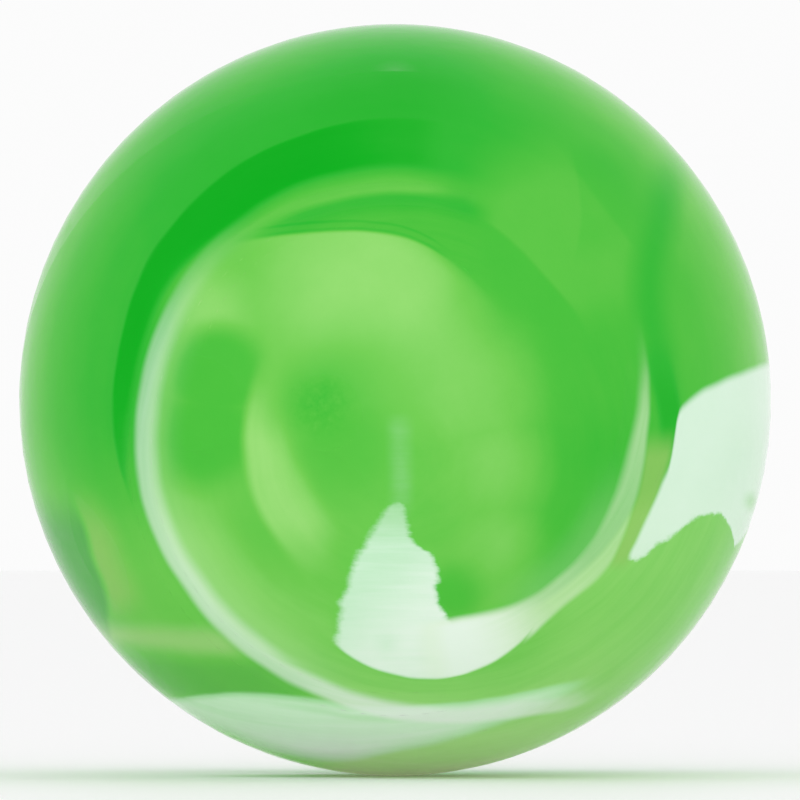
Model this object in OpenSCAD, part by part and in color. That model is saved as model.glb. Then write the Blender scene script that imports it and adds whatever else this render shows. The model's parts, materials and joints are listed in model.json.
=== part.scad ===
// Solid glass swirl marble. The clear green glass and every coloured stream folded into it
// are separate solids that fill the ball exactly.
// X runs to the right across the front face, Y runs through to the far side, Z is up.
// The origin is the centre of the ball. The front face looks towards -Y.

/* [Ball] */
// Diameter of the ball
ball_d = 16; // [13:0.5:50]

/* [White streams] */
// Outer diameter of the hoop that the white ribbon follows
hoop_d = 11.2; // [9:0.1:13]
// Width of the white ribbon
ribbon_w = 0.48; // [0.3:0.02:0.8]
// Diameter of the rounded foot of the white flame
flame_d = 5.9; // [4.5:0.1:7]
// Width of the pale veil that curls up from the flame's foot
veil_w = 0.6; // [0.4:0.05:0.9]
// Height of the white wing along the rim
wing_h = 4.3; // [3:0.1:5.5]
// How far the white wing reaches in from the rim
wing_l = 3.2; // [2:0.1:4]
// Height of the white drift in the middle
drift_h = 1.1; // [0.8:0.05:1.4]
// Width of the white tail on the far side
tail_w = 1.5; // [1:0.1:2.2]

/* [Lime and pale streams] */
// Diameter of the lime cloud
cloud_d = 6.6; // [5.4:0.1:8]
// Width of the lime arc beside the dark eye
arc_w = 1; // [0.6:0.05:1.2]
// Width of the olive streak at the lower left rim
streak_w = 0.8; // [0.5:0.05:1.2]
// Length of the olive streak
streak_l = 3; // [2:0.1:4]
// Height of the pale bar at the lower left
bar_h = 0.6; // [0.4:0.05:0.8]
// Length of the pale bar
bar_l = 2.4; // [1.6:0.1:2.8]
// Diameter of the lime cloud on the far side
lime_tail_d = 6.2; // [4.5:0.1:7.5]

/* [Dark streams] */
// Greatest width of the deep crescent, over the top of the hoop
crescent_w = 1.36; // [1:0.02:1.8]
// How far the deep crescent stands out past the sides of the hoop
crescent_side = 0.32; // [0.2:0.02:0.6]
// Height of the dark brow between the hoop and the cloud
brow_h = 0.45; // [0.3:0.05:0.8]
// Diameter of the dark eye
eye_d = 1.6; // [1:0.1:2]
// Diameter of the dark pool beside the ribbon
pool_d = 2; // [1.4:0.1:2.4]
// Height of the dark bar above the drift
deep_bar_h = 0.7; // [0.4:0.05:0.9]
// How far the dark bar reaches left of the middle
deep_bar_l = 5.2; // [4.4:0.1:5.4]
// Width of the dark crescent on the far side
deep_tail_w = 1; // [0.6:0.05:1.5]

/* [Depths] */
// Thickness of the white streams, down from the surface
white_depth = 2.4; // [1.5:0.1:3.2]
// Thickness of the lime and pale streams
pale_depth = 1.6; // [1:0.1:3.2]
// Thickness of the dark streams
deep_depth = 2; // [1:0.1:3.2]
// How far the streams that cross the rim run on behind the widest section
rim_wrap = 3.2; // [2:0.1:4]
// Green glass left between those streams and the ones on the far side
far_gap = 0.4; // [0.2:0.1:1]

/* [Hidden] */
$fn = 96;

ball_r = ball_d / 2;
// How far cutting shapes stand proud of the surface
over = 1;
// Long enough to reach past the ball in any direction
reach = 2 * ball_d;

// The hoop, and the circles that are tied to it. Every span is a pair of angles in degrees.
hoop_r = hoop_d / 2;
hoop_at = on_face(0, -0.13);
hoop_inner_r = hoop_r - ribbon_w;
ribbon_span = [72, 282];
crescent_r = hoop_r + crescent_side;
crescent_at = hoop_at + [0, crescent_w - crescent_side];
crescent_span = [80, 188];
veil_r = hoop_r - 0.2;
veil_at = hoop_at + [0, 1.44];

// The flame's foot lies in the lower right of the hoop, and the veil sets off from its right side
flame_r = flame_d / 2;
flame_gap = 0.12;
flame_at = hoop_at + (hoop_inner_r - flame_r - flame_gap) * ray(-69.4);
veil_span = [-40, 42];

// The cloud hangs below the brow. The eye lies in its lower left, over the clear glass
// inside the lime arc.
cloud_r = cloud_d / 2;
cloud_at = [-0.8, hoop_at.y + hoop_inner_r - brow_h - cloud_r];
brow_span = [50, 130];
eye_at = cloud_at + [-0.68, -0.6];
arc_r = 4;
arc_at = eye_at + [2.3, -0.4];
arc_inner_at = arc_at + arc_w * ray(40);
arc_span = [165, 255];
clear_span = [165, 300];
pool_at = [hoop_at.x - hoop_inner_r + 0.45 * pool_d, cloud_at.y - 0.4];

// The drift's upper edge laps the foot of the hoop, and its lower edge is one long curve
drift_drop = 0.14;
drift_top = hoop_at.y - hoop_inner_r - drift_drop;
drift_curve_r = 11.4;
drift_curve_at = [-1.2, drift_top - drift_h + drift_curve_r];

// The dark bar lies on the drift, and the pale bar above it comes out from under the hoop
bar_gap = 0.15;
bar_z = drift_top + deep_bar_h + bar_gap + bar_h / 2;
bar_side = 0.7;
bar_at = [hoop_left(bar_z) - bar_side, bar_z];

streak_at = on_face(-0.78, -0.4);
streak_lean = -64;

wing_top = 0.96;

// The far side
lime_tail_r = lime_tail_d / 2;
lime_tail_at = on_face(0.1, 0.12);
deep_tail_r = lime_tail_r + deep_tail_w;
deep_tail_at = on_face(0.06, 0.16);
deep_tail_span = [40, 190];
tail_r = 7.6;
tail_at = [-0.4, 2.6];
tail_span = [186, 310];

function on_face(x, z) = ball_r * [x, z];
function ray(angle) = [cos(angle), sin(angle)];
// The left edge of the hoop at a height
function hoop_left(z) = hoop_at.x - sqrt(pow(hoop_r, 2) - pow(z - hoop_at.y, 2));

// The sphere is turned so that its poles lie in plain green glass, clear of every stream's edge
module ball(r) rotate([-30, 0, 180]) sphere(r);

module disc(at, r) translate(at) circle(r);

module ring(at, outer_r, width) difference() {
    disc(at, outer_r);
    disc(at, outer_r - width);
}

// A pie slice about a point, over a span of angles
module slice(at, span) translate(at) polygon(concat(
    [[0, 0]],
    [for (step = [0:4]) reach * ray(span[0] + (span[1] - span[0]) * step / 4)]
));

// The glass below an outline on the front face, down to a depth. It begins at a plane
// behind the middle of the ball, and proud makes it stand out past the surface.
module stream(depth, behind = 0, proud = 0) intersection() {
    difference() {
        ball(ball_r + proud);
        ball(ball_r - depth);
    }
    rotate([90, 0, 0]) translate([0, 0, -behind]) linear_extrude(reach) children();
}

// The same on the far side, clear of the streams that cross the rim
module far_stream(depth, proud = 0) rotate([0, 0, 180]) {
    stream(depth, -rim_wrap - far_gap, proud) children();
}

// ---- Outlines on the front face, seen from the front ----

module ribbon_outline() intersection() {
    ring(hoop_at, hoop_r, ribbon_w);
    slice(hoop_at, ribbon_span);
}

module flame_outline() intersection() {
    disc(flame_at, flame_r);
    translate(flame_at) polygon(flame_r * [
        [-0.24, 0.42], [-0.16, 0.41], [-0.12, 0.16], [-0.1, -0.02], [0.08, -0.2],
        [0.07, -0.38], [0.2, -0.54], [0.42, -0.5], [0.66, -0.36], [1.2, -0.62],
        [0.9, -1.2], [-0.9, -1.2], [-0.7, -0.62], [-0.64, -0.4], [-0.54, -0.12],
        [-0.42, 0.06], [-0.32, 0.2]
    ]);
}

module veil_outline() difference() {
    intersection() {
        ring(veil_at, veil_r, veil_w);
        slice(flame_at, veil_span);
    }
    flame_outline();
}

module wing_outline() {
    function at_rim(along, down) = [ball_r - wing_l * along, wing_top - wing_h * down];
    difference() {
        polygon([
            at_rim(-0.3, 0), at_rim(0.2, 0.09), at_rim(0.48, 0.17), at_rim(0.6, 0.24),
            at_rim(0.66, 0.38), at_rim(0.85, 0.72), at_rim(1, 0.98), at_rim(0.8, 0.91),
            at_rim(0.66, 0.86), at_rim(0.54, 0.8), at_rim(0.38, 0.79), at_rim(0.28, 0.86),
            at_rim(0.24, 0.96), at_rim(-0.3, 1)
        ]);
        disc(veil_at, veil_r);
    }
}

module drift_outline() difference() {
    intersection() {
        disc(drift_curve_at, drift_curve_r);
        translate([0, drift_top - reach / 2]) square(reach, center = true);
    }
    ribbon_outline();
}

module mint_outline() difference() {
    polygon([
        flame_at, on_face(0.9, -0.2), [reach, -ball_r / 2], [0, -reach], on_face(0.06, -0.8)
    ]);
    disc(flame_at, flame_r);
    disc(veil_at, veil_r);
    disc(hoop_at, hoop_r);
    wing_outline();
    drift_outline();
}

module arc_outline() difference() {
    intersection() {
        disc(arc_at, arc_r);
        slice(eye_at, arc_span);
    }
    disc(arc_inner_at, arc_r);
}

module eye_outline() difference() {
    disc(eye_at, eye_d / 2);
    arc_outline();
}

module pool_outline() difference() {
    intersection() {
        disc(pool_at, pool_d / 2);
        disc(hoop_at, hoop_inner_r);
    }
    arc_outline();
}

module cloud_outline() difference() {
    intersection() {
        disc(cloud_at, cloud_r);
        disc(hoop_at, hoop_inner_r);
    }
    slice(eye_at, clear_span);
    eye_outline();
    pool_outline();
    flame_outline();
}

module brow_outline() difference() {
    intersection() {
        disc(hoop_at, hoop_inner_r);
        slice(cloud_at, brow_span);
    }
    disc(cloud_at, cloud_r);
}

module crescent_outline() difference() {
    intersection() {
        disc(crescent_at, crescent_r);
        slice(crescent_at, crescent_span);
    }
    disc(hoop_at, hoop_r);
}

module streak_outline() translate(streak_at) rotate(streak_lean) lens(streak_l, streak_w);

module bar_outline() difference() {
    translate(bar_at) lens(bar_l, bar_h);
    disc(hoop_at, hoop_r);
    streak_outline();
}

// Two equal arcs that meet in points at the two ends
module lens(length, width) {
    arc_radius = (length * length + width * width) / (4 * width);
    intersection() {
        disc([0, width / 2 - arc_radius], arc_radius);
        disc([0, arc_radius - width / 2], arc_radius);
    }
}

module deep_bar_outline() difference() {
    translate([hoop_at.x - deep_bar_l, drift_top]) square([deep_bar_l, deep_bar_h]);
    disc(hoop_at, hoop_r);
}

// ---- Outlines on the far side, seen from behind ----

module tail_outline() difference() {
    intersection() {
        ring(tail_at, tail_r, tail_w);
        slice(tail_at, tail_span);
    }
    disc(deep_tail_at, deep_tail_r);
}

module lime_tail_outline() disc(lime_tail_at, lime_tail_r);

module deep_tail_outline() difference() {
    intersection() {
        disc(deep_tail_at, deep_tail_r);
        slice(deep_tail_at, deep_tail_span);
    }
    lime_tail_outline();
}

// ---- The pieces ----

module white_flame(proud = 0) color("honeydew") stream(white_depth, 0, proud) flame_outline();

module white_ribbon(proud = 0) color("honeydew") stream(white_depth, 0, proud) ribbon_outline();

module white_wing(proud = 0) color("honeydew") stream(white_depth, rim_wrap, proud) wing_outline();

module white_drift(proud = 0) color("honeydew") stream(white_depth, rim_wrap, proud) drift_outline();

module pale_veil(proud = 0) color("palegreen") stream(pale_depth, 0, proud) veil_outline();

module mint_sweep(proud = 0) color("lightgreen") stream(pale_depth, rim_wrap, proud) mint_outline();

module lime_cloud(proud = 0) color("yellowgreen") stream(pale_depth, 0, proud) cloud_outline();

module lime_arc(proud = 0) color("yellowgreen") stream(pale_depth, 0, proud) arc_outline();

module olive_streak(proud = 0) color("darkkhaki") stream(pale_depth, 0, proud) streak_outline();

module pale_bar(proud = 0) color("palegreen") stream(pale_depth, 0, proud) bar_outline();

module deep_crescent(proud = 0) color("forestgreen") stream(deep_depth, 0, proud) crescent_outline();

module deep_brow(proud = 0) color("forestgreen") stream(deep_depth, 0, proud) brow_outline();

module deep_eye(proud = 0) color("forestgreen") stream(deep_depth, 0, proud) eye_outline();

module deep_pool(proud = 0) color("forestgreen") stream(deep_depth, 0, proud) pool_outline();

module deep_bar(proud = 0) color("forestgreen") stream(deep_depth, rim_wrap, proud) deep_bar_outline();

module white_tail(proud = 0) color("honeydew") far_stream(white_depth, proud) tail_outline();

module lime_tail(proud = 0) color("yellowgreen") far_stream(pale_depth, proud) lime_tail_outline();

module deep_tail(proud = 0) color("forestgreen") far_stream(deep_depth, proud) deep_tail_outline();

module green_body() color("limegreen") difference() {
    ball(ball_r);
    white_flame(over);
    white_ribbon(over);
    white_wing(over);
    white_drift(over);
    pale_veil(over);
    mint_sweep(over);
    lime_cloud(over);
    lime_arc(over);
    olive_streak(over);
    pale_bar(over);
    deep_crescent(over);
    deep_brow(over);
    deep_eye(over);
    deep_pool(over);
    deep_bar(over);
    white_tail(over);
    lime_tail(over);
    deep_tail(over);
}

green_body();
white_flame();
white_ribbon();
white_wing();
white_drift();
pale_veil();
mint_sweep();
lime_cloud();
lime_arc();
olive_streak();
pale_bar();
deep_crescent();
deep_brow();
deep_eye();
deep_pool();
deep_bar();
white_tail();
lime_tail();
deep_tail();
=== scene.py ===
"""Looks for the glass swirl marble: cloudy green glass with white, lime and dark streams folded into it.

Every stream's glass is painted from one swirl, worked out over the whole ball, so that the colours run
into each other across the streams' walls as they do where hot glass flows together. The swirl is laid
out in ball radii: u to the right and v up across the front face, and depth through to the far side.
"""

import json
import math

import bmesh
import bpy
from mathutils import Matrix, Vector


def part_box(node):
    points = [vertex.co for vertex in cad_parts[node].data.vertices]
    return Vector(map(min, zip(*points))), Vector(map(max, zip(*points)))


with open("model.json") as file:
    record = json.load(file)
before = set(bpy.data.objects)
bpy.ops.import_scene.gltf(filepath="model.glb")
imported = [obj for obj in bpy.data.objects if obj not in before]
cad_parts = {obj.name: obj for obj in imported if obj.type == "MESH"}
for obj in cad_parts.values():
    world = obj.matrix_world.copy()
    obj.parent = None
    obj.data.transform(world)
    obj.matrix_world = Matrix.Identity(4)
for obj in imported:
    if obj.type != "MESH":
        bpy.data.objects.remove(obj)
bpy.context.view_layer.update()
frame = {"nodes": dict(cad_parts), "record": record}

# ---- Sizes, from the frame ----

BALL_LOW, BALL_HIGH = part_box("green_body")
BALL_R = (BALL_HIGH.z - BALL_LOW.z) / 2
FLOOR_R = 60 * BALL_R
CAMERA_AWAY = 50 * BALL_R
# The ball's radius and how far its middle stands to the left, as shares of the picture's width
BALL_IN_PICTURE = 0.4697
BALL_TO_LEFT = 0.006
# How deep the ball's polished skin is, in ball radii. Below it the streams' inner walls get a painted
# glow of the glass's own colour, which also keeps hairline slits between streams from showing dark.
SKIN = 0.006
RIPPLE_DEPTH = 0.01 * BALL_R
# How strong the painted glow at the bottom of the ball is, which lightens the shade that falls there
PAINTED_BOTTOM_GLOW = 0.5

# How far the streams that cross the rim run on behind
RIM_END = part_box("white_wing")[1].y / BALL_R

# ---- Glass colours ----


def glass(red, green, blue):
    """A screen colour, 0 to 255, as the linear colour that a shader takes."""
    def linear(part):
        part /= 255
        if part <= 0.04045:
            return part / 12.92
        return ((part + 0.055) / 1.055) ** 2.4
    return (linear(red), linear(green), linear(blue), 1.0)


# The green glass by how cloudy it is, from clear and dark to full of lime
GREEN_BY_CLOUD = [
    (0.0, glass(2, 170, 24)),
    (0.1, glass(12, 174, 30)),
    (0.3, glass(46, 183, 50)),
    (0.5, glass(79, 192, 62)),
    (0.7, glass(112, 203, 81)),
    (0.9, glass(144, 216, 110)),
    (1.0, glass(160, 222, 125)),
]
WHITE = glass(240, 251, 241)
CREAM = glass(222, 243, 204)
PEARL = glass(216, 250, 216)
MILK = glass(200, 241, 207)
MINT = glass(160, 232, 160)
OLIVE = glass(148, 200, 102)
PALE_OLIVE = glass(162, 212, 128)
TEAL = glass(72, 166, 74)
FLOOR_WHITE = (0.95, 0.95, 0.95, 1.0)
BLACK = (0.0, 0.0, 0.0, 1.0)

# ---- The courses that the streams take, as they wander ----

# A turn about a middle is counted in half turns, from its left or from its right
LEFT = -1.0
RIGHT = 1.0

# Middles, as (u, v)
HOOP = (0.0, -0.13)
VEIL = (0.0, 0.05)
FOOT = (0.083, -0.361)
LIME_ARC = (0.12, -0.09)
EYE = (-0.195, -0.01)
EYE_HEART = (-0.2, -0.01)
FAN_TURNS_ABOUT = (0.1, -0.05)
DRIFT_TURNS_ABOUT = (-0.1, 0.6)
HOOP_R = 0.7
FOOT_R = 0.37

# Discs, as (u, v, radius). The last three are on the far side, with u to the right as seen from there.
CRESCENT_OUTSIDE = (0.0, 0.0, 0.742)
LONG_SHADOW = (-0.35, -0.34, 1.0)
LIME_ARC_OUTSIDE = (*LIME_ARC, 0.515)
LIME_ARC_INSIDE = (0.2, 0.02, 0.49)
FAR_LIME = (0.1, 0.12, 0.3875)
FAR_DEEP = (0.06, 0.16, 0.5125)
FAR_TAIL = (-0.05, 0.325, 0.95)

# The ribbon by its turn about the hoop: how far out its middle runs, and how white it is
RIBBON_PATH = [
    (-1, 0.95), (-0.7, 0.81), (-0.64, 0.757), (-0.58, 0.722), (-0.47, 0.676), (-0.36, 0.646),
    (-0.2, 0.638), (-0.08, 0.65), (0.08, 0.668), (0.14, 0.679), (0.22, 0.69), (0.42, 0.705),
    (1, 0.705),
]
RIBBON_WHITE = [
    (-1, 0), (-0.74, 0), (-0.7, 0.3), (-0.66, 0.6), (-0.58, 0.8), (-0.5, 0.82), (-0.42, 0.7),
    (-0.33, 0.55), (-0.2, 0.52), (-0.05, 0.41), (0.08, 0.33), (0.14, 0.26), (0.2, 0.14),
    (0.28, 0.04), (0.34, 0), (1, 0),
]

# The veil by its turn: how far out its two edges run, and how white it is
VEIL_INSIDE = [
    (-1, 0.65), (-0.44, 0.65), (-0.39, 0.66), (-0.34, 0.674), (-0.28, 0.672), (-0.22, 0.663),
    (-0.167, 0.65), (-0.11, 0.643), (0.0, 0.652), (1, 0.66),
]
VEIL_OUTSIDE = [
    (-1, 0.85), (-0.44, 0.83), (-0.386, 0.795), (-0.34, 0.76), (-0.3, 0.742), (-0.24, 0.742),
    (-0.19, 0.72), (-0.15, 0.7), (-0.1, 0.687), (-0.05, 0.677), (0.0, 0.67), (1, 0.66),
]
VEIL_WHITE = [
    (-1, 0.95), (-0.42, 0.92), (-0.39, 0.86), (-0.36, 0.74), (-0.33, 0.6), (-0.28, 0.5),
    (-0.22, 0.4), (-0.15, 0.4), (-0.06, 0.45), (0.0, 0.28), (0.04, 0.06), (0.08, 0), (1, 0),
]

# The wing: its top and its torn hem by u, and its left edge by v
WING_TOP = [
    (-1, -0.3), (0.7, -0.2), (0.735, -0.09), (0.75, -0.024), (0.77, -0.003), (0.8, 0.021),
    (0.85, 0.047), (0.92, 0.073), (1, 0.1),
]
WING_HEM = [
    (-1, -0.5), (0.6, -0.42), (0.643, -0.412), (0.675, -0.392), (0.712, -0.366),
    (0.745, -0.346), (0.78, -0.316), (0.83, -0.304), (0.862, -0.306), (0.884, -0.33),
    (0.9, -0.38), (0.912, -0.47), (1, -0.6),
]
WING_LEFT = [
    (-1, 0.6), (-0.41, 0.607), (-0.37, 0.626), (-0.3, 0.657), (-0.227, 0.69), (-0.16, 0.714),
    (-0.09, 0.729), (-0.03, 0.734), (1, 0.734),
]

# The plume's two edges by v
PLUME_LEFT = [
    (-1, -0.165), (-0.66, -0.163), (-0.6, -0.155), (-0.52, -0.142), (-0.48, -0.128),
    (-0.416, -0.112), (-0.38, -0.09), (-0.337, -0.07), (-0.3, -0.045), (-0.265, -0.005),
    (-0.24, 0.03), (1, 0.5),
]
PLUME_RIGHT = [
    (-1, 0.2), (-0.62, 0.17), (-0.567, 0.139), (-0.514, 0.114), (-0.46, 0.119), (-0.405, 0.1),
    (-0.383, 0.066), (-0.345, 0.036), (-0.3, 0.03), (-0.265, 0.01), (-0.24, -0.03), (1, -0.5),
]

# The cloud's top and the drift's two edges by u
CLOUD_TOP = [
    (-1, 0.1), (-0.6, 0.33), (-0.5, 0.385), (-0.42, 0.41), (-0.384, 0.418), (-0.27, 0.436),
    (-0.155, 0.447), (-0.05, 0.441), (0.05, 0.418), (0.14, 0.37), (0.22, 0.3), (1, -0.4),
]
DRIFT_TOP = [
    (-1, -0.86), (-0.6, -0.8), (-0.5, -0.775), (-0.35, -0.768), (-0.2, -0.79), (-0.06, -0.81),
    (0.14, -0.8), (0.34, -0.775), (0.5, -0.735), (1, -0.6),
]
DRIFT_HEM = [
    (-1, -1), (-0.6, -0.84), (-0.5, -0.86), (-0.3, -0.935), (-0.15, -0.955), (0.0, -0.925),
    (0.14, -0.895), (0.3, -0.84), (0.5, -0.75), (1, -0.5),
]

# Where dark glass hems the upper right, and where teal turns to olive at the lower left, by v
DARK_HEM = [(-1, 0.76), (-0.06, 0.72), (0.13, 0.69), (0.27, 0.672), (0.5, 0.7), (1, 0.8)]
TEAL_EDGE = [
    (-1, -0.75), (-0.59, -0.756), (-0.507, -0.766), (-0.42, -0.799), (-0.33, -0.823),
    (-0.25, -0.856), (1, -0.9),
]

# ---- Shader expressions ----


class Signal:
    """A value that changes over the glass. Arithmetic on it adds Math nodes."""

    def __init__(self, sheet, socket):
        self.sheet = sheet
        self.socket = socket

    def math(self, operation, *others):
        node = self.sheet.add(
            "ShaderNodeMath", {"operation": operation}, dict(enumerate((self, *others)))
        )
        return Signal(self.sheet, node.outputs[0])

    def __add__(self, other):
        return self.math("ADD", other)

    __radd__ = __add__

    def __sub__(self, other):
        return self.math("SUBTRACT", other)

    def __rsub__(self, other):
        return self.math("MULTIPLY_ADD", -1.0, other)

    def __mul__(self, other):
        return self.math("MULTIPLY", other)

    __rmul__ = __mul__

    def __abs__(self):
        return self.math("ABSOLUTE")

    def most(self, other):
        return self.math("MAXIMUM", other)

    def near(self, place, reach):
        """1 where the value is at a place, falling to 0 at its reach to either side."""
        return abs(self - place).rise(reach, 0.0)

    def rise(self, low, high):
        """0 below low and 1 above high, with a smooth rise between. It falls if low is above high."""
        node = self.sheet.add(
            "ShaderNodeMapRange",
            {"interpolation_type": "SMOOTHSTEP"},
            {"Value": self, "From Min": low, "From Max": high},
        )
        return Signal(self.sheet, node.outputs["Result"])

    def follow(self, points):
        """The smooth curve through (input, output) points, all between -1 and 1."""
        node = self.sheet.add(
            "ShaderNodeFloatCurve",
            {"points": [((x + 1) / 2, (y + 1) / 2) for x, y in points]},
            {"Value": self * 0.5 + 0.5},
        )
        return Signal(self.sheet, node.outputs["Value"]) * 2.0 - 1.0


class Sheet:
    """One material's nodes."""

    def __init__(self, name):
        self.material = bpy.data.materials.new(name)
        self.material.use_nodes = True
        self.tree = self.material.node_tree
        self.shader = self.tree.nodes["Principled BSDF"]

    def add(self, kind, settings=None, sockets=None):
        """A node of a kind, with its settings set first, and its sockets given values or linked."""
        node = self.tree.nodes.new(kind)
        for name, value in (settings or {}).items():
            if name == "stops":
                fill_ramp(node.color_ramp, value)
            elif name == "points":
                fill_curve(node.mapping, value)
            else:
                setattr(node, name, value)
        for key, value in (sockets or {}).items():
            self.feed(node.inputs[key], value)
        return node

    def feed(self, socket, value):
        if isinstance(value, Signal):
            self.tree.links.new(value.socket, socket)
        elif isinstance(value, bpy.types.NodeSocket):
            self.tree.links.new(value, socket)
        else:
            socket.default_value = value

    def blend(self, under, over, mask):
        """One value laid over another, as far as the mask says."""
        node = self.add("ShaderNodeMix", {"data_type": "FLOAT"}, {0: mask, 2: under, 3: over})
        return Signal(self, node.outputs[0])

    def lay(self, under, colour, mask):
        """One colour laid over another, as far as the mask says."""
        node = self.add("ShaderNodeMix", {"data_type": "RGBA"}, {0: mask, 6: under, 7: colour})
        return node.outputs[2]

    def vector(self, operation, *parts):
        node = self.add("ShaderNodeVectorMath", {"operation": operation}, dict(enumerate(parts)))
        return node.outputs[0]

    def noise(self, place, scale, detail=2.0, roughness=0.5):
        """Cloudy noise, about -0.5 to 0.5, at a scale in waves to a ball radius."""
        node = self.add(
            "ShaderNodeTexNoise",
            {},
            {"Vector": place, "Scale": scale, "Detail": detail, "Roughness": roughness},
        )
        return Signal(self, node.outputs["Fac"]) - 0.5


def fill_ramp(ramp, stops):
    while len(ramp.elements) < len(stops):
        ramp.elements.new(0.5)
    for element, (place, colour) in zip(ramp.elements, stops):
        element.position = place
        element.color = colour


def fill_curve(mapping, points):
    curve = mapping.curves[0]
    while len(curve.points) < len(points):
        curve.points.new(0.5, 0.5)
    for point, place in zip(curve.points, points):
        point.location = place
    mapping.extend = "HORIZONTAL"
    mapping.update()


class Face:
    """Places on the ball in ball radii, gently warped so that no edge is a perfect arc."""

    def __init__(self, sheet):
        self.sheet = sheet
        coordinates = sheet.add("ShaderNodeTexCoord")
        scaled = sheet.add(
            "ShaderNodeVectorMath",
            {"operation": "SCALE"},
            {0: coordinates.outputs["Object"], "Scale": 1 / BALL_R},
        )
        self.place = scaled.outputs[0]
        self.warped = self.warp(self.warp(self.place, 1.6, 0.012), 7.0, 0.005)
        parts = sheet.add("ShaderNodeSeparateXYZ", {}, {0: self.warped})
        self.u = Signal(sheet, parts.outputs[0])
        self.depth = Signal(sheet, parts.outputs[1])
        self.v = Signal(sheet, parts.outputs[2])
        self.flat = self.plane(self.u)
        self.flat_behind = self.plane(self.u * -1.0)
        self.hoop_away, self.hoop_turn = self.about(*HOOP, LEFT)
        self.past_ribbon = self.hoop_away - self.hoop_turn.follow(RIBBON_PATH)
        self.veil_away, self.veil_turn = self.about(*VEIL, RIGHT)
        self.past_veil = self.veil_away - self.veil_turn.follow(VEIL_OUTSIDE)

    def warp(self, place, scale, amount):
        noise = self.sheet.add("ShaderNodeTexNoise", {}, {"Vector": place, "Scale": scale, "Detail": 1.0})
        spread = (2 * amount,) * 3
        centred = (-amount,) * 3
        shift = self.sheet.vector("MULTIPLY_ADD", noise.outputs["Color"], spread, centred)
        return self.sheet.vector("ADD", place, shift)

    def plane(self, across):
        node = self.sheet.add("ShaderNodeCombineXYZ", {}, {0: across, 2: self.v})
        return node.outputs[0]

    def disc(self, x, z, r, behind=False):
        """How far inside a disc a place is, in ball radii. It is negative outside."""
        flat = self.flat_behind if behind else self.flat
        node = self.sheet.add(
            "ShaderNodeVectorMath", {"operation": "DISTANCE"}, {0: flat, 1: (x, 0.0, z)}
        )
        return r - Signal(self.sheet, node.outputs["Value"])

    def blot(self, x, z, r, soft):
        """A soft round patch: full inside, and faded out over the soft width about its edge."""
        return self.disc(x, z, r).rise(-soft, soft)

    def about(self, x, z, side):
        """The way out from a point, and the turn about it: 0 at that side, 0.5 at the top, -0.5 below."""
        away = self.disc(x, z, 0.0) * -1.0
        turn = (self.v - z).math("ARCTAN2", (self.u - x) * side) * (1 / math.pi)
        return away, turn

    def drawn(self, away, turn, fine=24.0):
        """Streaks drawn out round a point, as glass draws out when it is turned."""
        node = self.sheet.add("ShaderNodeCombineXYZ", {}, {0: away * fine, 1: turn * 4.0})
        return self.sheet.noise(node.outputs[0], 1.0, 3.0, 0.6)

    def noise(self, scale, detail=2.0, roughness=0.5):
        return self.sheet.noise(self.place, scale, detail, roughness)


# ---- The swirl ----


def outer_green(face):
    """The green glass outside the hoop: darkest at the top, lighter to the right, and at the rim
    lightened by a painted reflection.
    """
    sheet, u, v = face.sheet, face.u, face.v
    rim = face.disc(0.0, 0.0, 1.0)
    tone = 0.27 + 0.22 * u.rise(0.0, 0.75) + 0.12 * u.rise(-0.5, -0.95)
    tone = tone - 0.09 * v.rise(0.6, 0.85) * u.near(-0.02, 0.4)
    # Painted reflection: the glass is lightened towards the rim.
    tone = tone + 0.17 * rim.rise(0.2, 0.0) + 0.08 * rim.rise(0.1, 0.0)
    low = v.rise(0.0, -0.45) * u.rise(0.1, -0.35)
    tone = sheet.blend(tone, 0.68, low)
    return tone + 0.09 * face.noise(2.2, 3.0) + 0.05 * face.drawn(*face.about(0.0, 0.0, LEFT))


def upper_right(face, tone):
    """A painted reflection of a soft lamp between the cloud and the rim, with painted dark lines at its
    edges, and the dark hem beside them.
    """
    sheet, u, v = face.sheet, face.u, face.v
    # Painted reflection of a soft lamp: a lighter patch at the upper right.
    fold = face.disc(0.42, 0.4, 0.22).rise(-0.12, 0.08)
    tone = sheet.blend(tone, 0.56, fold * u.rise(0.1, 0.22))
    # Painted dark lines at the edges of the painted reflection.
    reflection_line = (u - 0.375 - 0.11 * v.near(0.5, 0.5)).rise(0.0, 0.012)
    tone = tone - 0.045 * reflection_line * face.blot(0.5, 0.52, 0.13, 0.05)
    edge = (u * 0.8 + v * 0.6 - 0.745).rise(-0.008, 0.008)
    tone = tone - 0.06 * edge * face.blot(0.55, 0.52, 0.16, 0.08)
    hem = u - v.follow(DARK_HEM)
    along = v.rise(-0.2, -0.02) * v.rise(0.7, 0.5)
    tone = sheet.blend(tone, 0.33, hem.near(0.0, 0.08) * along)
    pocket = (hem + 0.045).rise(-0.008, 0.01) * (hem - 0.035).rise(0.012, -0.012)
    return sheet.blend(tone, 0.2, pocket * v.near(-0.02, 0.2))


def lean(turn):
    """How far the pale arc and the crescent over it lean in, at the upper left."""
    return 0.022 * turn.near(0.27, 0.16)


def deep_crescent(face, tone):
    """The clear dark glass over the hoop, with its crisp outer edge."""
    away, turn = face.hoop_away, face.hoop_turn
    over_ribbon = 0.04 * turn.rise(0.22, 0.05)
    outside_arc = (away - 0.748 + over_ribbon + lean(turn)).rise(-0.012, 0.014)
    edge = face.disc(*CRESCENT_OUTSIDE).rise(-0.005, 0.007)
    along = face.u.rise(0.14, 0.03) * face.v.rise(-0.4, -0.1)
    shade = 0.03 + 0.14 * face.v.rise(0.2, -0.2) + 0.14 * (face.u + 0.25).rise(0.0, 0.3)
    shade = shade + 0.08 * face.drawn(away, turn)
    return face.sheet.blend(tone, shade, edge * outside_arc * along)


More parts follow.
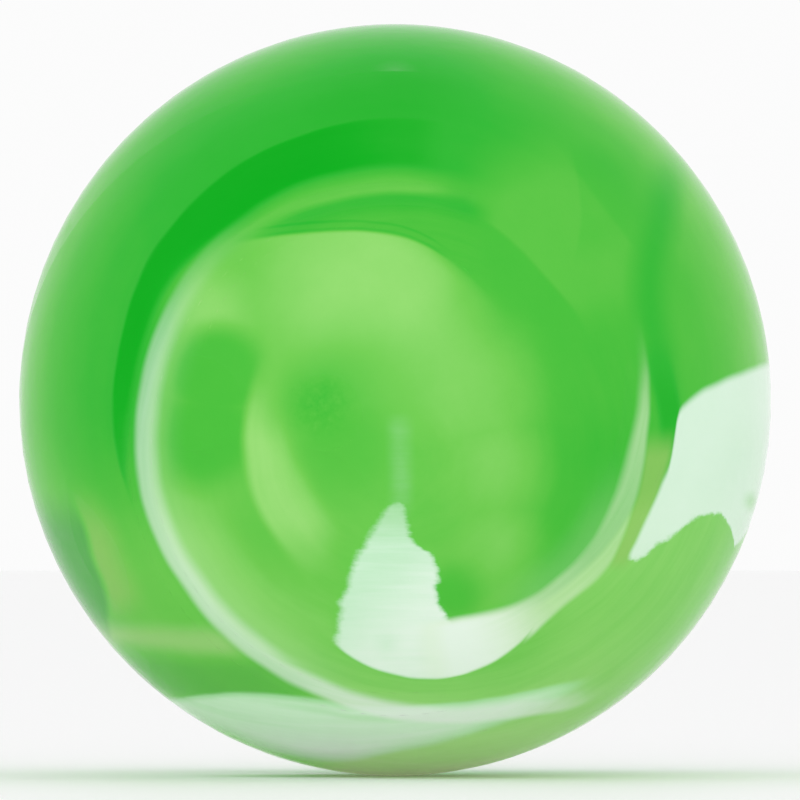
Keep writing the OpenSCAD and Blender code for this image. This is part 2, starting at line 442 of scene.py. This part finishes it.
def pale_arc(face, tone):
    """The faint pale line that carries the hoop over the top."""
    away, turn = face.hoop_away, face.hoop_turn
    across = away - HOOP_R + lean(turn)
    line = across.rise(-0.03, 0.0) * across.rise(0.06, 0.0)
    along = turn.rise(0.14, 0.24) * turn.rise(0.66, 0.5)
    streaks = 0.1 * face.drawn(away, turn, 40.0)
    return face.sheet.blend(tone, 0.58 + streaks, line * along)


def middle_green(face, tone):
    """The glass inside the hoop: dark on the right, cloudier towards the ribbon at the lower left."""
    sheet, u, v = face.sheet, face.u, face.v
    inside = face.past_ribbon.rise(0.01, -0.02)
    inside_veil = face.disc(*VEIL, 0.665).rise(-0.01, 0.01) * v.rise(0.3, 0.1) * u.rise(0.0, 0.15)
    left = inside * u.rise(0.2, 0.05)
    whole = left.most(inside_veil).most(inside * v.rise(0.15, 0.0))
    here = 0.66 - 0.22 * u.rise(0.25, 0.45) - 0.06 * face.blot(0.56, -0.15, 0.1, 0.1)
    haze = face.past_ribbon.rise(-0.3, 0.0)
    low_left = v.rise(-0.1, -0.4) * u.rise(0.3, -0.1) * face.hoop_turn.rise(-0.52, -0.36)
    here = here + 0.26 * haze * low_left
    here = here + 0.1 * face.drawn(face.hoop_away, face.hoop_turn) + 0.12 * face.noise(3.0, 3.0)
    return sheet.blend(tone, here, whole)


def arc_shadow(face, tone):
    """Painted shade inside the long arc at the upper right, along the edge of the painted reflection
    outside it.
    """
    inside = face.disc(*LONG_SHADOW).rise(-0.006, 0.01)
    along = face.u.rise(0.15, 0.25) * face.v.rise(-0.05, 0.2)
    within = face.disc(0.27, 0.26, 0.28).rise(-0.06, 0.08)
    return face.sheet.blend(tone, 0.45, inside * along * within)


def lime_cloud(face, tone):
    """The cloud of lime in the middle, crisp along its top and soft below, and its tail to the right."""
    sheet, u, v = face.sheet, face.u, face.v
    under = u.follow(CLOUD_TOP) - v
    top = under.rise(-0.01, 0.012)
    top = sheet.blend(top, under.rise(-0.05, 0.05), u.rise(-0.36, -0.46).most(u.rise(-0.05, 0.1)))
    wide = face.disc(-0.2, 0.19, 0.35).rise(-0.13, 0.12)
    tone = sheet.blend(tone, 0.67, wide * top)
    full = face.disc(-0.07, 0.28, 0.2).rise(-0.2, 0.12)
    tone = sheet.blend(tone, 0.9, full * top)
    shoulder = face.blot(-0.48, 0.24, 0.08, 0.07) * face.past_ribbon.rise(0.02, -0.02)
    tone = sheet.blend(tone, 0.86, shoulder)
    tail = face.blot(0.19, 0.05, 0.14, 0.13).most(face.blot(0.25, -0.17, 0.09, 0.12))
    tail = tail.most(face.blot(0.27, -0.38, 0.07, 0.1))
    tone = sheet.blend(tone, 0.78, tail)
    return tone + 0.12 * face.noise(4.0, 4.0, 0.6) * face.blot(-0.05, 0.05, 0.5, 0.2)


def dark_pool(face, tone):
    """The dark patch between the ribbon and the cloud, and its tail outside the lime arc."""
    inside = face.past_ribbon.rise(-0.03, -0.08)
    patch = face.blot(-0.47, 0.07, 0.12, 0.045).most(face.blot(-0.49, -0.09, 0.13, 0.06))
    tone = face.sheet.blend(tone, 0.47, patch * inside)
    tail = face.disc(*LIME_ARC, 0.6).rise(-0.05, 0.04) * face.blot(-0.36, -0.33, 0.1, 0.14)
    return face.sheet.blend(tone, 0.62, tail)


def lime_arc(face, tone):
    """The lime crescent left of the dark eye."""
    outer = face.disc(*LIME_ARC_OUTSIDE).rise(-0.018, 0.018)
    inner = face.disc(*LIME_ARC_INSIDE).rise(0.03, -0.03)
    fade = face.v.rise(-0.52, -0.3)
    along = face.u.rise(-0.12, -0.24) * face.v.rise(0.16, -0.12)
    shade = 0.94 + 0.12 * face.drawn(*face.about(*LIME_ARC, LEFT))
    return face.sheet.blend(tone, shade, outer * inner * along * fade)


def dark_eye(face, tone):
    """The dark spot with its grain, trailing away below."""
    sheet = face.sheet
    around = face.blot(-0.12, 0.02, 0.16, 0.12)
    tone = sheet.blend(tone, 0.66, around)
    trail = face.blot(-0.12, -0.16, 0.11, 0.1)
    tone = sheet.blend(tone, 0.57, trail)
    spot = face.blot(*EYE, 0.1, 0.09).most(face.blot(-0.16, -0.08, 0.09, 0.1))
    grain = face.noise(46.0, 2.0, 0.7)
    heart = face.blot(*EYE_HEART, 0.06, 0.06)
    return sheet.blend(tone, 0.52 - 0.07 * heart + 0.35 * grain * heart, spot)


def dark_brow(face, tone):
    """The dark fold between the pale top of the hoop and the cloud, with painted dark lines below it, the
    edge of a reflection.
    """
    sheet, u, v = face.sheet, face.u, face.v
    away, turn = face.hoop_away, face.hoop_turn
    over = v - u.follow(CLOUD_TOP)
    along = u.rise(-0.5, -0.22) * u.rise(0.27, 0.18)
    shade = 0.47 - 0.13 * away.rise(0.6, 0.66) + 0.14 * face.drawn(away, turn, 40.0)
    band = (away - 0.675).rise(0.014, -0.014) * over.rise(-0.01, 0.01)
    tone = sheet.blend(tone, shade, band * along)
    # Painted dark lines along the cloud's top: the edge of a reflection.
    painted_reflection_edge = over.near(0.003, 0.008).most(0.7 * over.near(0.024, 0.007))
    return tone - 0.13 * painted_reflection_edge * u.rise(-0.38, -0.3) * u.rise(0.16, 0.08)


def fold_by_plume(face, tone):
    """The clear pocket between the plume and its arm."""
    return face.sheet.blend(tone, 0.5, face.blot(0.15, -0.51, 0.07, 0.05))


def mint_sweep(face, tone):
    """The light green fan at the lower right, drawn out in fine streaks."""
    sheet, u, v = face.sheet, face.u, face.v
    outside_veil = face.disc(*VEIL, 0.7).rise(0.01, -0.01)
    outside_hoop = face.disc(*HOOP, HOOP_R).rise(0.02, -0.01)
    fan = outside_veil * v.rise(-0.2, -0.32) * u.rise(-0.12, 0.1)
    fan = fan.most(outside_hoop * v.rise(-0.6, -0.7) * u.rise(-0.3, 0.1))
    foot = face.disc(*FOOT, FOOT_R).rise(0.01, -0.01)
    below = foot * v.rise(-0.55, -0.66) * u.rise(-0.3, -0.1)
    away, turn = face.about(*FAN_TURNS_ABOUT, RIGHT)
    shade = 0.84 - 0.12 * away.rise(0.78, 0.66) * u.rise(0.5, 0.3) + 0.12 * v.rise(-0.5, -0.85)
    streaks = 0.2 * face.drawn(away, turn, 34.0)
    return sheet.blend(tone, shade + streaks, fan.most(below))


def front_tone(face):
    """How cloudy the green glass is over the front face, stream by stream."""
    tone = outer_green(face)
    layers = (
        upper_right, middle_green, deep_crescent, pale_arc, arc_shadow, lime_cloud, dark_pool,
        lime_arc, dark_eye, dark_brow, fold_by_plume, mint_sweep,
    )
    for layer in layers:
        tone = layer(face, tone)
    return tone


def ragged(face, amount):
    """Fine torn edges, where thick white glass was pulled through the green."""
    flat_tears = face.sheet.vector("MULTIPLY", face.place, (0.5, 1.0, 2.2))
    return amount * (face.sheet.noise(flat_tears, 16.0, 3.0, 0.6) + 0.4 * face.noise(50.0, 2.0, 0.6))


def ribbon_white(face):
    """The ribbon: thin and pale at the upper left, whiter and brighter as it runs under the plume."""
    across = face.past_ribbon
    outer = across.rise(0.034, 0.014)
    inner = across.rise(-0.048, -0.004)
    thin = across.rise(-0.036, -0.004).most(face.hoop_turn.rise(-0.4, -0.3))
    streaks = 1.0 + 0.5 * face.drawn(face.hoop_away, face.hoop_turn, 60.0)
    return outer * inner * thin * face.hoop_turn.follow(RIBBON_WHITE) * streaks


def ribbon_haze(face):
    """Milk inside the ribbon's lower left."""
    haze = face.past_ribbon.rise(-0.12, 0.0) * face.past_ribbon.rise(0.03, 0.0)
    turn = face.hoop_turn
    return haze * turn.rise(-0.48, -0.36) * turn.rise(0.25, 0.12) * 0.08


def plume_white(face):
    """The plume, softly torn down both sides, on its rounded foot: its milk, and its whiter heart."""
    u, v = face.u, face.v
    torn = ragged(face, 0.038)
    left = (u - v.follow(PLUME_LEFT) + torn).rise(-0.006, 0.024)
    right = (v.follow(PLUME_RIGHT) - u + torn).rise(-0.004, 0.018)
    foot = face.disc(*FOOT, FOOT_R).rise(-0.006, 0.006)
    flattened = face.sheet.vector("MULTIPLY", face.place, (1.0, 1.0, 14.0))
    flat_streaks = face.sheet.noise(flattened, 3.0, 3.0, 0.6)
    thin = 0.86 - 0.4 * v.rise(-0.4, -0.27) + 0.3 * flat_streaks * v.rise(-0.62, -0.4)
    whole = left * right * foot * thin
    heart = (u * 0.9 - v).rise(0.38, 0.68) * 0.75 + 0.25 + 0.5 * flat_streaks
    heart = heart - 0.35 * face.blot(-0.02, -0.645, 0.02, 0.035)
    feather = u.near(0.01, 0.045) * v.rise(-0.03, -0.08) * v.rise(-0.33, -0.24)
    wisp = (0.13 + 0.2 * flat_streaks + 0.15 * face.noise(14.0, 3.0)) * feather
    return whole.most(wisp), whole * heart


def veil_white(face):
    """The veil, wide at the plume's foot and thin at its top: its cream, with a haze inside it, and the
    white that runs out into it from the foot."""
    away, turn = face.veil_away, face.veil_turn
    past_inside = away - turn.follow(VEIL_INSIDE)
    inner = past_inside.rise(-0.022, 0.01)
    outer = face.past_veil.rise(0.006, -0.01)
    foot = face.disc(*FOOT, FOOT_R).rise(-0.006, 0.006).most(face.u.rise(0.33, 0.37))
    start = turn.rise(-0.48, -0.43)
    streaks = 1.0 + 0.5 * face.drawn(away, turn, 50.0) * turn.rise(-0.42, -0.34)
    band = inner * outer * foot * start * streaks
    haze = past_inside.rise(-0.1, 0.0) * outer
    haze = haze * turn.rise(-0.38, -0.3) * turn.rise(-0.08, -0.22)
    return (band * turn.follow(VEIL_WHITE)).most(0.12 * haze), band * turn.rise(-0.3, -0.42)


def tongue(face, middle, half):
    """1 until a stream that runs over the rim peters out behind it, in a torn and rounded end."""
    across = (face.v - middle) * (1.0 / half)
    end = RIM_END - 0.04 - 0.3 * across * across - 0.25 * abs(ragged(face, 1.0))
    return (end - face.depth).rise(0.0, 0.07)


def wing_white(face):
    """The white patch that runs over the right rim, torn along its lower edge."""
    u, v = face.u, face.v
    torn = ragged(face, 0.03)
    top = (u.follow(WING_TOP) - v).rise(-0.008, 0.024)
    left = (u - v.follow(WING_LEFT)).rise(-0.004, 0.014)
    low = (v - u.follow(WING_HEM) + torn).rise(-0.006, 0.012)
    stain = face.blot(0.95, -0.27, 0.02, 0.02) * face.depth.rise(0.0, -0.1)
    fill = 0.86 + 0.3 * face.noise(3.0, 3.0) - 0.5 * stain
    return top * left * low * fill * tongue(face, -0.1, 0.22)


def wing_wedge(face):
    """The olive glass between the veil and the wing."""
    u, v = face.u, face.v
    outside = face.past_veil.rise(-0.01, 0.01)
    before_wing = (v.follow(WING_LEFT) - u).rise(-0.02, 0.01)
    return outside * before_wing * v.rise(-0.06, -0.16) * v.rise(-0.46, -0.4) * u.rise(0.5, 0.58)


def drift_white(face):
    """The streaky white band along the bottom."""
    u, v = face.u, face.v
    top = (u.follow(DRIFT_TOP) - v).rise(-0.01, 0.02)
    low = (v - u.follow(DRIFT_HEM)).rise(-0.02, 0.035)
    streaks = face.drawn(*face.about(*DRIFT_TURNS_ABOUT, LEFT), 22.0)
    body = 0.86 + streaks + 0.08 * u.rise(-0.15, 0.15)
    thread = (v - u.follow(DRIFT_TOP) + 0.03).near(0.0, 0.014) * u.rise(-0.36, -0.2) * u.rise(0.12, 0.0)
    return top * low * (body - 0.3 * thread) * u.rise(0.56, 0.4)


def far_tone(face, tone):
    """The far side's own dark and lime streams."""
    sheet = face.sheet
    stirred = 0.1 * face.noise(2.5, 3.0, 0.55)
    lime = face.disc(*FAR_LIME, behind=True) + stirred
    deep = face.disc(*FAR_DEEP, behind=True) - stirred
    band = deep.rise(-0.01, 0.01) * lime.rise(0.02, -0.02)
    across = face.u * -1.0
    reach = (face.v - across * 0.6).rise(-0.1, 0.12)
    tone = sheet.blend(tone, 0.14, band * reach)
    cloud = lime.rise(-0.03, 0.1)
    return sheet.blend(tone, 0.82 + 0.3 * face.noise(3.0, 4.0, 0.6), cloud)


def tail_white(face):
    """The broad white tail across the far side."""
    ring = face.disc(*FAR_TAIL, behind=True)
    torn = ragged(face, 0.04)
    band = (ring + torn).rise(-0.01, 0.015) * ring.rise(0.22, 0.16)
    across = face.u * -1.0
    along = face.v.rise(0.28, 0.2) * (face.v * -1.0 - across * 0.84).rise(-0.17, -0.05)
    thin = face.depth.rise(0.38, 0.8)
    return band * along * thin * (0.95 + 0.4 * face.noise(4.0, 3.0))


def lower_left(face, colour):
    """The dull bands outside the hoop at the lower left: teal by the rim, olive beside it, and a pale
    bar and a dark one below."""
    sheet, u, v = face.sheet, face.u, face.v
    outside = face.past_ribbon.rise(0.0, 0.05)
    split = u - v.follow(TEAL_EDGE)
    teal = split.rise(0.01, -0.012) * v.rise(-0.22, -0.36) * v.rise(-0.68, -0.55)
    olive = split.rise(0.0, 0.02) * split.rise(0.12, 0.03) * v.rise(-0.2, -0.4) * v.rise(-0.6, -0.5)
    bar = v.rise(-0.57, -0.63) * (v + 0.69 + 0.05 * u).rise(-0.02, 0.03) * u.rise(-0.3, -0.45)
    deep = v.rise(-0.66, -0.71) * v.rise(-0.8, -0.76) * u.rise(-0.1, -0.4)
    colour = sheet.lay(colour, OLIVE, olive * outside * 0.7)
    colour = sheet.lay(colour, PALE_OLIVE, bar * outside * 0.8)
    colour = sheet.lay(colour, TEAL, teal * outside * 0.75)
    return sheet.lay(colour, TEAL, deep * outside * 0.32)


def swirl(face):
    """The whole ball's colour."""
    sheet, v = face.sheet, face.v
    front = face.depth.rise(0.04, -0.04)
    rim = face.depth.rise(RIM_END, RIM_END - 0.06)
    cloudy_rim = face.depth.rise(RIM_END + 0.1, -0.05) * v.rise(-0.1, -0.3)
    behind = face.depth.rise(0.4, 0.5)
    green_behind = 0.4 + 0.35 * face.noise(1.5, 3.0)
    plain = sheet.blend(outer_green(face), green_behind, face.depth.rise(0.1, 0.6))
    tone = sheet.blend(far_tone(face, plain), plain, 1.0 - behind)
    tone = sheet.blend(tone, front_tone(face), front.most(cloudy_rim))
    tone = tone + 0.05 * face.noise(9.0, 4.0, 0.65)

    ramp = sheet.add("ShaderNodeValToRGB", {"stops": GREEN_BY_CLOUD}, {0: tone})
    green = ramp.outputs["Color"]
    dull = lower_left(face, green)
    dull_end = (face.depth + 0.35 * face.noise(3.0, 3.0)).rise(0.3, -0.04)
    colour = sheet.lay(green, dull, dull_end)

    drift = drift_white(face)
    colour = sheet.lay(colour, MINT, drift.rise(0.0, 0.4) * 0.6 * rim)
    colour = sheet.lay(colour, PEARL, drift * rim)
    colour = sheet.lay(colour, OLIVE, wing_wedge(face) * 0.75 * front)
    colour = sheet.lay(colour, WHITE, ribbon_haze(face) * front)
    colour = sheet.lay(colour, WHITE, ribbon_white(face) * front)
    plume_milk, plume_heart = plume_white(face)
    colour = sheet.lay(colour, MILK, plume_milk * front)
    colour = sheet.lay(colour, WHITE, plume_heart * front)
    arm_cream, arm_white = veil_white(face)
    colour = sheet.lay(colour, CREAM, arm_cream * front)
    colour = sheet.lay(colour, WHITE, arm_white * front)
    wing = wing_white(face)
    colour = sheet.lay(colour, MILK, wing)
    colour = sheet.lay(colour, WHITE, wing * 0.6)
    tail = tail_white(face)
    colour = sheet.lay(colour, MILK, tail * behind)
    return sheet.lay(colour, WHITE, tail * 0.6 * behind)


# ---- Glass finishes, one for each slot of the record ----


def swirl_glass():
    """Gloss glass with a little orange peel, fine handling marks and a breath of haze. A painted glow of
    the glass's own colour shows on the streams' inner walls, under the skin, and at the bottom of the
    ball, where it lightens the shade."""
    sheet = Sheet("swirl_glass")
    face = Face(sheet)
    colour = swirl(face)
    sheet.feed(sheet.shader.inputs["Base Color"], colour)
    haze = 0.12 + 0.08 * face.noise(3.0, 3.0) + 0.08 * face.noise(40.0, 2.0)
    sheet.feed(sheet.shader.inputs["Roughness"], haze)
    peel = 0.7 * face.noise(4.0, 2.0) + 0.3 * face.noise(18.0, 3.0)
    bump = sheet.add("ShaderNodeBump", {"name": "ripple"}, {"Distance": RIPPLE_DEPTH, "Height": peel})
    sheet.feed(sheet.shader.inputs["Normal"], bump.outputs["Normal"])
    # Painted glow: on the streams' inner walls under the skin, and at the bottom of the ball, where it
    # lightens the shade.
    from_middle = sheet.add("ShaderNodeVectorMath", {"operation": "LENGTH"}, {0: face.place})
    within = Signal(sheet, from_middle.outputs["Value"]).rise(1.0 - SKIN, 1.0 - 2.0 * SKIN)
    painted_bottom_glow = face.v.rise(-0.72, -1.0) * PAINTED_BOTTOM_GLOW
    taken_up = sheet.vector("SUBTRACT", (1.0, 1.0, 1.0), colour)
    glow_colour = sheet.vector("MULTIPLY", colour, taken_up)
    painted_glow = sheet.lay(BLACK, glow_colour, within.most(painted_bottom_glow))
    sheet.feed(sheet.shader.inputs["Emission Color"], painted_glow)
    sheet.shader.inputs["Emission Strength"].default_value = 1.0
    sheet.shader.inputs["IOR"].default_value = 1.5
    sheet.material.cycles.emission_sampling = "NONE"
    return sheet.material


# Each slot's sheen, and how far its surface ripples. The white glass has a little more of both.
FINISHES = {
    "green_glass": (0.06, 0.25),
    "white_glass": (0.09, 0.35),
    "streaky_white_glass": (0.1, 0.35),
    "pale_glass": (0.08, 0.3),
    "mint_glass": (0.07, 0.3),
    "lime_glass": (0.07, 0.3),
    "olive_glass": (0.08, 0.3),
    "deep_glass": (0.05, 0.2),
}


def finish_glass(swirl_material, slot):
    """The swirl glass with one slot's own sheen and ripple."""
    material = swirl_material.copy()
    material.name = slot
    sheen, ripple = FINISHES[slot]
    nodes = material.node_tree.nodes
    nodes["Principled BSDF"].inputs["Specular IOR Level"].default_value = sheen
    nodes["ripple"].inputs["Strength"].default_value = ripple
    return material


swirl_material = swirl_glass()
glasses = {slot: finish_glass(swirl_material, slot) for slot in FINISHES}
bpy.data.materials.remove(swirl_material)

for subpart in frame["record"]["subparts"]:
    stream = frame["nodes"][subpart["node"]]
    stream.data.materials.clear()
    stream.data.materials.append(glasses[subpart["material_slot"]])


# ---- The bench: a pale floor, soft light and the camera ----


def pale_floor():
    """A wide round floor that the ball stands on."""
    sheet = Sheet("pale_floor")
    coordinates = sheet.add("ShaderNodeTexCoord")
    mottle = sheet.noise(coordinates.outputs["Object"], 20.0, 2.0) * 0.02 + 0.6
    sheet.feed(sheet.shader.inputs["Roughness"], mottle)
    sheet.shader.inputs["Base Color"].default_value = FLOOR_WHITE
    mesh = bpy.data.meshes.new("floor")
    shape = bmesh.new()
    bmesh.ops.create_circle(shape, cap_ends=True, segments=96, radius=FLOOR_R)
    bmesh.ops.translate(shape, verts=shape.verts, vec=(0, 0, BALL_LOW.z))
    shape.to_mesh(mesh)
    shape.free()
    mesh.materials.append(sheet.material)
    floor = bpy.data.objects.new("floor", mesh)
    bpy.context.scene.collection.objects.link(floor)


def soft_light():
    """Even white light from all round, and one large soft lamp above the camera."""
    world = bpy.data.worlds.new("white_tent")
    world.use_nodes = True
    world.node_tree.nodes["Background"].inputs["Color"].default_value = (1.0, 1.0, 1.0, 1.0)
    world.node_tree.nodes["Background"].inputs["Strength"].default_value = 0.97
    bpy.context.scene.world = world
    lamp = bpy.data.lights.new("soft_lamp", "AREA")
    lamp.size = 20 * BALL_R
    lamp.energy = 0.07
    lamp.specular_factor = 0.0
    holder = bpy.data.objects.new("soft_lamp", lamp)
    holder.location = (-3 * BALL_R, -25 * BALL_R, 2 * BALL_R)
    holder.rotation_euler = (-Vector(holder.location)).to_track_quat("-Z", "Y").to_euler()
    bpy.context.scene.collection.objects.link(holder)


def front_camera():
    """A long lens level with the middle of the ball, which fills the picture but for a thin margin."""
    camera = bpy.data.cameras.new("camera")
    camera.sensor_width = 36.0
    half_angle = math.asin(BALL_R / CAMERA_AWAY)
    camera.lens = BALL_IN_PICTURE * camera.sensor_width / math.tan(half_angle)
    camera.shift_x = BALL_TO_LEFT
    camera.clip_start = 0.1 * BALL_R
    camera.clip_end = 400 * BALL_R
    holder = bpy.data.objects.new("camera", camera)
    holder.location = (0.0, -CAMERA_AWAY, 0.0)
    holder.rotation_euler = (math.radians(90), 0.0, 0.0)
    bpy.context.scene.collection.objects.link(holder)
    bpy.context.scene.camera = holder


pale_floor()
soft_light()
front_camera()
bpy.context.scene.view_settings.view_transform = "Standard"
